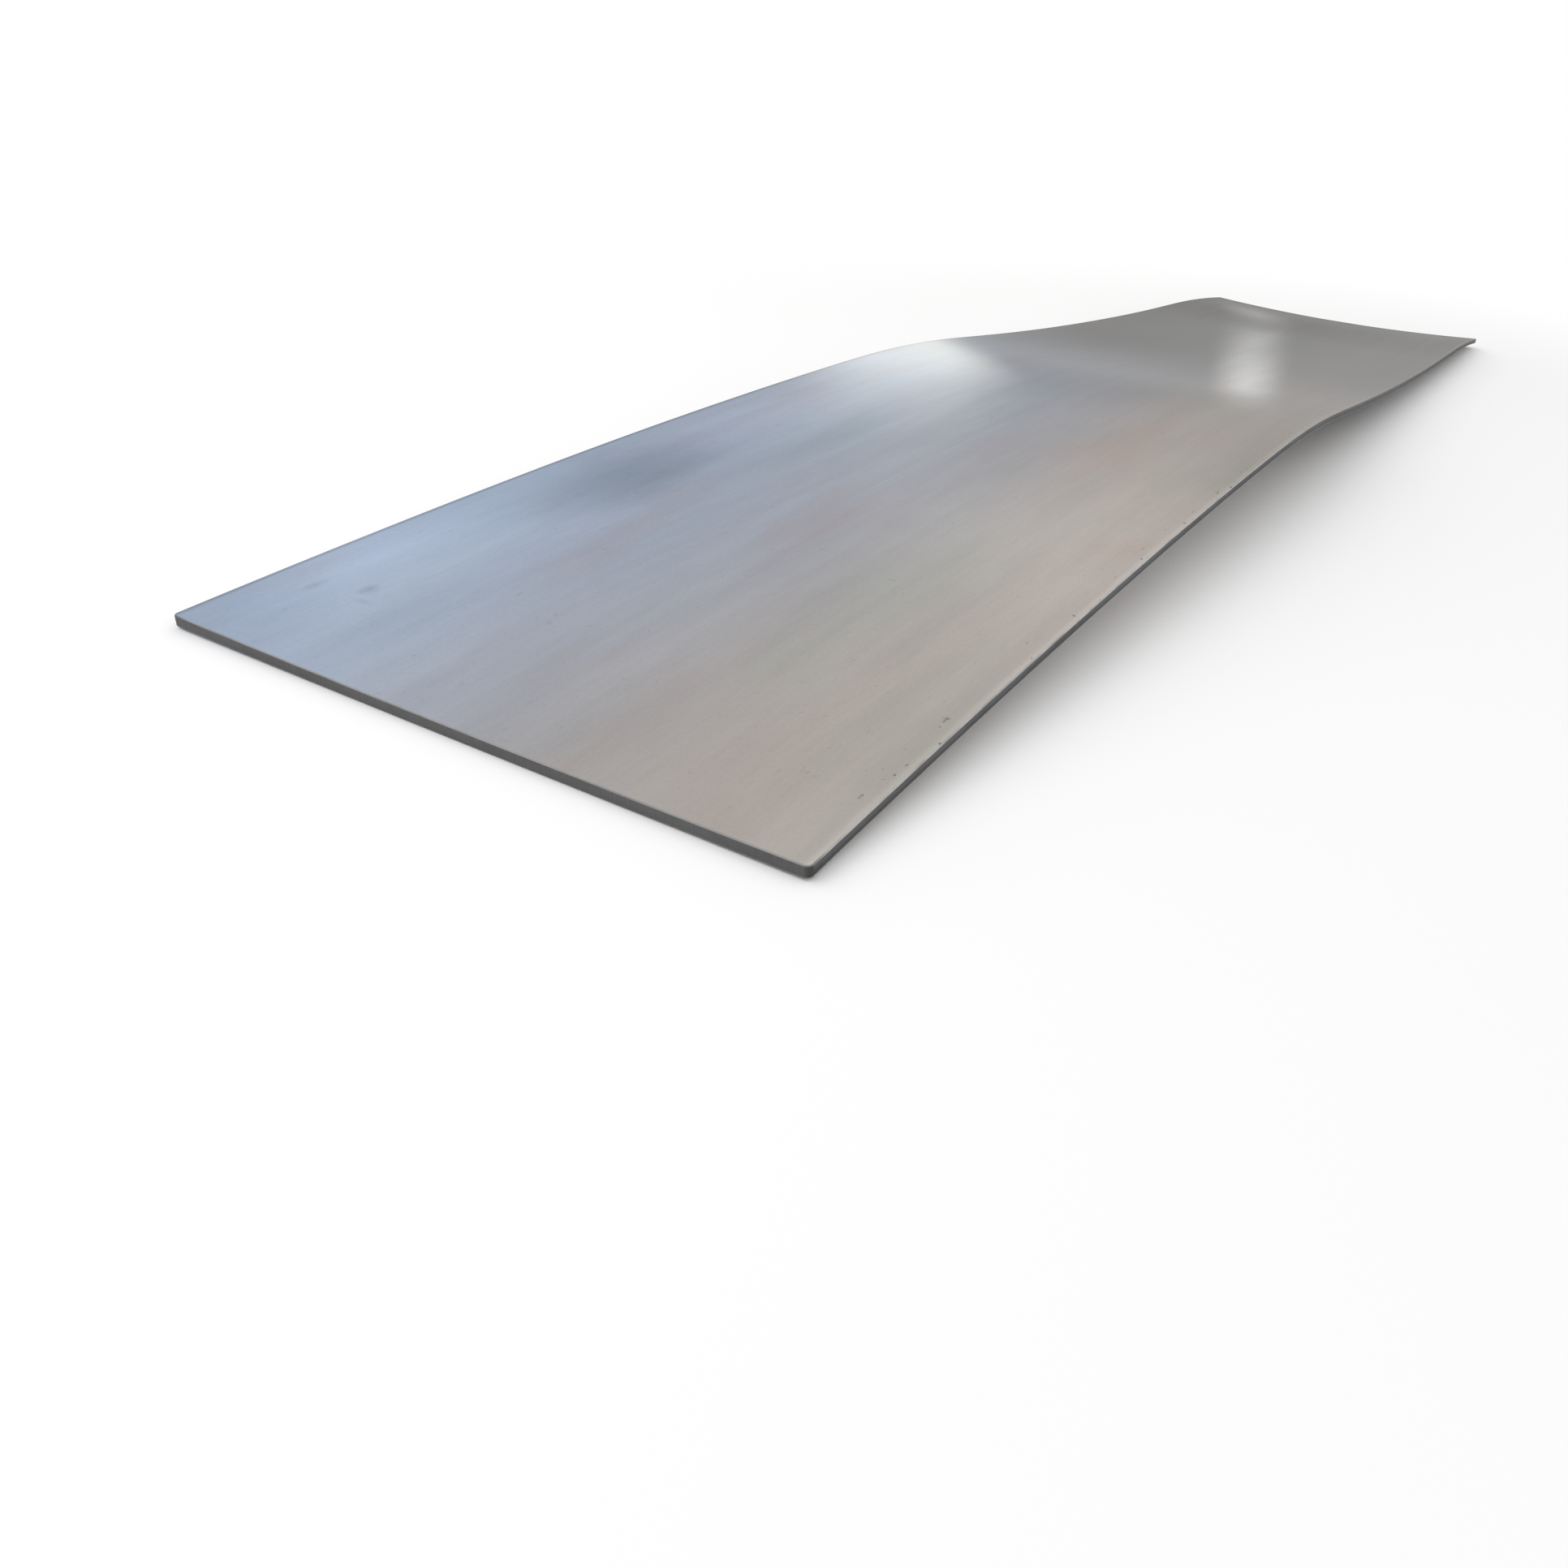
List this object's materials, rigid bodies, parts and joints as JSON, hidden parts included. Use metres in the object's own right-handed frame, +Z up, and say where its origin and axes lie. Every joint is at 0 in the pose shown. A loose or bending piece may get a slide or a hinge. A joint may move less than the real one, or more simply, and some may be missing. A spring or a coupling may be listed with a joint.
{
  "type": "steel plate",
  "caption": "Hot-rolled steel plate of a stock size, cut square, with broken edges and a long low wave along its length.",
  "frame": {"origin": "on the floor, in the middle of the box that the plate fills", "axes": "+X along the plate from its front end to its rear end, +Y across it to the left, +Z up"},
  "size_m": [6.0948, 1.22, 0.1797],
  "materials": {
    "rolled_steel": "hot-rolled, blue-grey mill scale with a soft gloss and rolling streaks, bare cut edges"
  },
  "bodies": {
    "root": {"steel_plate": "rolled_steel"}
  },
  "joints": []
}
